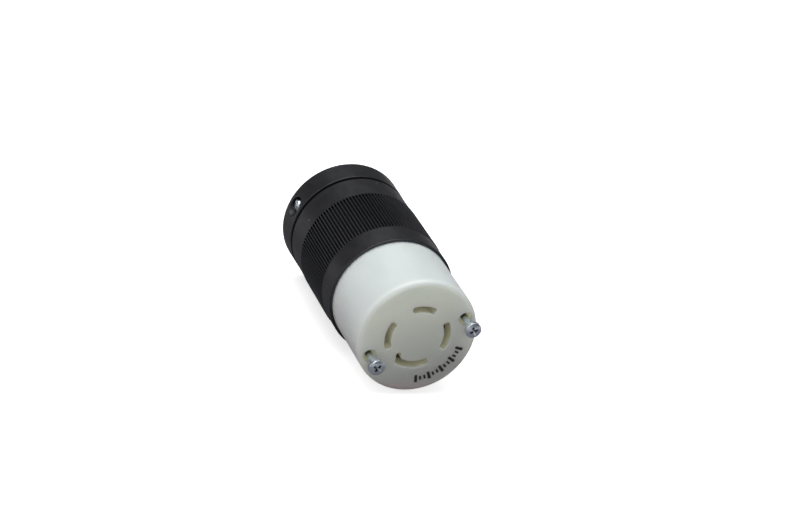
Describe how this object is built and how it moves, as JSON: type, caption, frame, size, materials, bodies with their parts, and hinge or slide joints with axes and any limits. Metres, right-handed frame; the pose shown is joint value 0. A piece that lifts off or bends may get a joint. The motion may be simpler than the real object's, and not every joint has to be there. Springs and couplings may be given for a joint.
{
  "type": "locking cord connector body",
  "caption": "Female locking cord connector: ribbed black shell with a screwed cord clamp, and a white slotted contact carrier held by two captive screws.",
  "frame": {"origin": "centre of the mating face", "axes": "-Y out of the mating face, +Y along the axis towards the cord, +X and -X through the hot slots, +Z through the neutral slot, -Z through the ground slot"},
  "size_m": [0.0556, 0.1147, 0.0556],
  "materials": {
    "black_nylon": "semi-gloss moulded black nylon, finely textured, ribbed grip band",
    "white_nylon": "smooth milky translucent white nylon",
    "black_insulator": "moulded thermoset insulator",
    "fibre": "red vulcanised fibre",
    "zinc_steel": "bright zinc plate on steel",
    "brass": "stamped or turned brass",
    "nickel": "nickel plated brass",
    "green_screw": "green dyed steel screw"
  },
  "bodies": {
    "shell": {"outer_shell": "black_nylon", "clamp_housing": "black_nylon", "threaded_inserts": "brass"},
    "carrier": {"contact_carrier": "white_nylon", "contact_retainer": "black_insulator", "retainer_rivet": "zinc_steel", "contact_hot_left": "brass", "contact_hot_right": "brass", "contact_neutral": "brass", "contact_ground": "brass"},
    "washer_right": {"captive_washer_right": "fibre"},
    "assembly_screw_right": {"assembly_screw_right": "zinc_steel"},
    "washer_left": {"captive_washer_left": "fibre"},
    "assembly_screw_left": {"assembly_screw_left": "zinc_steel"},
    "terminal_plate_hot_left": {"clamping_plate_hot_left": "brass"},
    "terminal_screw_hot_left": {"terminal_screw_hot_left": "brass"},
    "terminal_plate_hot_right": {"clamping_plate_hot_right": "brass"},
    "terminal_screw_hot_right": {"terminal_screw_hot_right": "brass"},
    "terminal_plate_neutral": {"clamping_plate_neutral": "nickel"},
    "terminal_screw_neutral": {"terminal_screw_neutral": "nickel"},
    "terminal_plate_ground": {"clamping_plate_ground": "brass"},
    "terminal_screw_ground": {"terminal_screw_ground": "green_screw"},
    "clamp_jaw_a": {"clamp_jaw_a": "black_nylon", "clamp_nut_a": "zinc_steel"},
    "clamp_screw_a": {"clamp_screw_a": "zinc_steel"},
    "clamp_jaw_b": {"clamp_jaw_b": "black_nylon", "clamp_nut_b": "zinc_steel"},
    "clamp_screw_b": {"clamp_screw_b": "zinc_steel"}
  },
  "joints": [
    {"name": "carrier_slide", "type": "slide", "parent": "shell", "child": "carrier", "axis": [0, -1, 0], "range_m": [0, 0.03]},
    {"name": "assembly_screw_right_travel", "type": "slide", "parent": "carrier", "child": "washer_right", "axis": [0, 1, 0], "range_m": [-0.0002, 0.0079]},
    {"name": "assembly_screw_right_turn", "type": "hinge", "parent": "washer_right", "child": "assembly_screw_right", "pos_m": [0.01947, 0, 0.00887], "axis": [0, 1, 0], "range_deg": [-91, 3590]},
    {"name": "assembly_screw_left_travel", "type": "slide", "parent": "carrier", "child": "washer_left", "axis": [0, 1, 0], "range_m": [-0.0002, 0.0079]},
    {"name": "assembly_screw_left_turn", "type": "hinge", "parent": "washer_left", "child": "assembly_screw_left", "pos_m": [-0.01947, 0, -0.00887], "axis": [0, 1, 0], "range_deg": [-91, 3590]},
    {"name": "terminal_hot_left_travel", "type": "slide", "parent": "carrier", "child": "terminal_plate_hot_left", "axis": [1, 0, 0], "range_m": [0, 0.0033]},
    {"name": "terminal_hot_left_turn", "type": "hinge", "parent": "terminal_plate_hot_left", "child": "terminal_screw_hot_left", "pos_m": [-0.0199, 0.05, 0], "axis": [1, 0, 0], "range_deg": [0, 1497]},
    {"name": "terminal_hot_right_travel", "type": "slide", "parent": "carrier", "child": "terminal_plate_hot_right", "axis": [-1, 0, 0], "range_m": [0, 0.0033]},
    {"name": "terminal_hot_right_turn", "type": "hinge", "parent": "terminal_plate_hot_right", "child": "terminal_screw_hot_right", "pos_m": [0.0199, 0.05, 0], "axis": [-1, 0, 0], "range_deg": [0, 1497]},
    {"name": "terminal_neutral_travel", "type": "slide", "parent": "carrier", "child": "terminal_plate_neutral", "axis": [0, 0, -1], "range_m": [0, 0.0033]},
    {"name": "terminal_neutral_turn", "type": "hinge", "parent": "terminal_plate_neutral", "child": "terminal_screw_neutral", "pos_m": [0, 0.05, 0.0199], "axis": [0, 0, -1], "range_deg": [0, 1497]},
    {"name": "terminal_ground_travel", "type": "slide", "parent": "carrier", "child": "terminal_plate_ground", "axis": [0, 0, 1], "range_m": [0, 0.0033]},
    {"name": "terminal_ground_turn", "type": "hinge", "parent": "terminal_plate_ground", "child": "terminal_screw_ground", "pos_m": [0, 0.05, -0.0199], "axis": [0, 0, 1], "range_deg": [0, 1497]},
    {"name": "clamp_jaw_a_travel", "type": "slide", "parent": "shell", "child": "clamp_jaw_a", "axis": [0.9848, 0, 0.1736], "range_m": [-0.0005, 0.0024]},
    {"name": "clamp_screw_a_turn", "type": "hinge", "parent": "clamp_jaw_a", "child": "clamp_screw_a", "pos_m": [-0.00229, 0.0976, 0.013], "axis": [0.9848, 0, 0.1736], "range_deg": [-567, 2722]},
    {"name": "clamp_jaw_b_travel", "type": "slide", "parent": "shell", "child": "clamp_jaw_b", "axis": [-0.9848, 0, -0.1736], "range_m": [-0.0005, 0.0024]},
    {"name": "clamp_screw_b_turn", "type": "hinge", "parent": "clamp_jaw_b", "child": "clamp_screw_b", "pos_m": [0.00229, 0.0976, -0.013], "axis": [-0.9848, 0, -0.1736], "range_deg": [-567, 2722]}
  ],
  "couplings": [
    {"joint": "assembly_screw_right_turn", "follows": "assembly_screw_right_travel", "rad_per_m": 7915.8},
    {"joint": "assembly_screw_left_turn", "follows": "assembly_screw_left_travel", "rad_per_m": 7915.8},
    {"joint": "terminal_hot_left_turn", "follows": "terminal_hot_left_travel", "rad_per_m": 7915.8},
    {"joint": "terminal_hot_right_turn", "follows": "terminal_hot_right_travel", "rad_per_m": 7915.8},
    {"joint": "terminal_neutral_turn", "follows": "terminal_neutral_travel", "rad_per_m": 7915.8},
    {"joint": "terminal_ground_turn", "follows": "terminal_ground_travel", "rad_per_m": 7915.8},
    {"joint": "clamp_screw_a_turn", "follows": "clamp_jaw_a_travel", "rad_per_m": 19790},
    {"joint": "clamp_jaw_b_travel", "follows": "clamp_jaw_a_travel", "ratio": 1},
    {"joint": "clamp_screw_b_turn", "follows": "clamp_jaw_a_travel", "rad_per_m": 19790}
  ]
}
